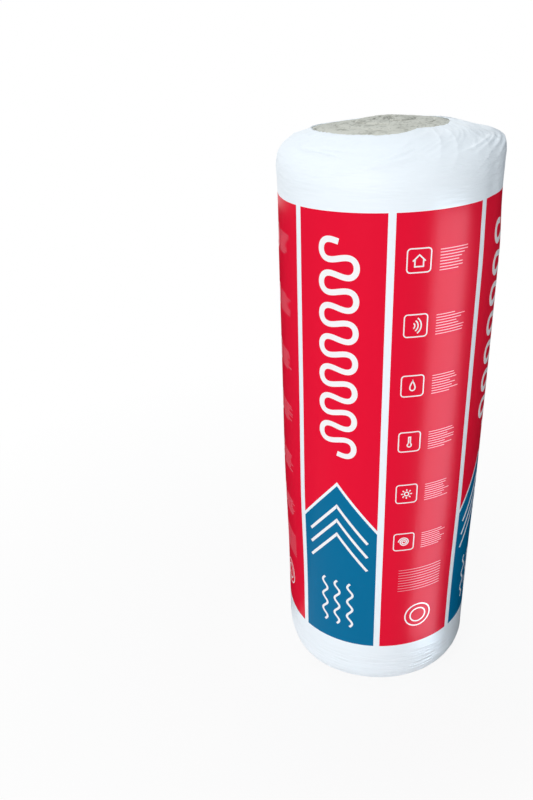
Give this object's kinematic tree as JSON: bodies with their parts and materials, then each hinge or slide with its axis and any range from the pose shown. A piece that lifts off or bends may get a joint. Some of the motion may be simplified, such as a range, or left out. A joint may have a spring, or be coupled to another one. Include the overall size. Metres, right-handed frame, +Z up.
{
  "type": "insulation roll",
  "caption": "Upright roll of mineral wool blanket, wound without a core and packed in a printed film sleeve that is drawn in over both ends and leaves the wound turns showing.",
  "frame": {"origin": "centre of the foot, on the plane that the roll stands on", "axes": "+Z up along the winding axis; the lap of the film runs up the side halfway between +X and +Y; the edge of the film's top hole lies furthest from the axis towards -X"},
  "size_m": [0.4299, 0.43, 1.1991],
  "materials": {
    "stone_wool": "fibrous, matt, undyed grey-beige wool",
    "packing_film": "glossy white polyethylene film with printed colour panels"
  },
  "bodies": {
    "root": {"wool_roll": "stone_wool", "film_sleeve": "packing_film"}
  },
  "joints": []
}
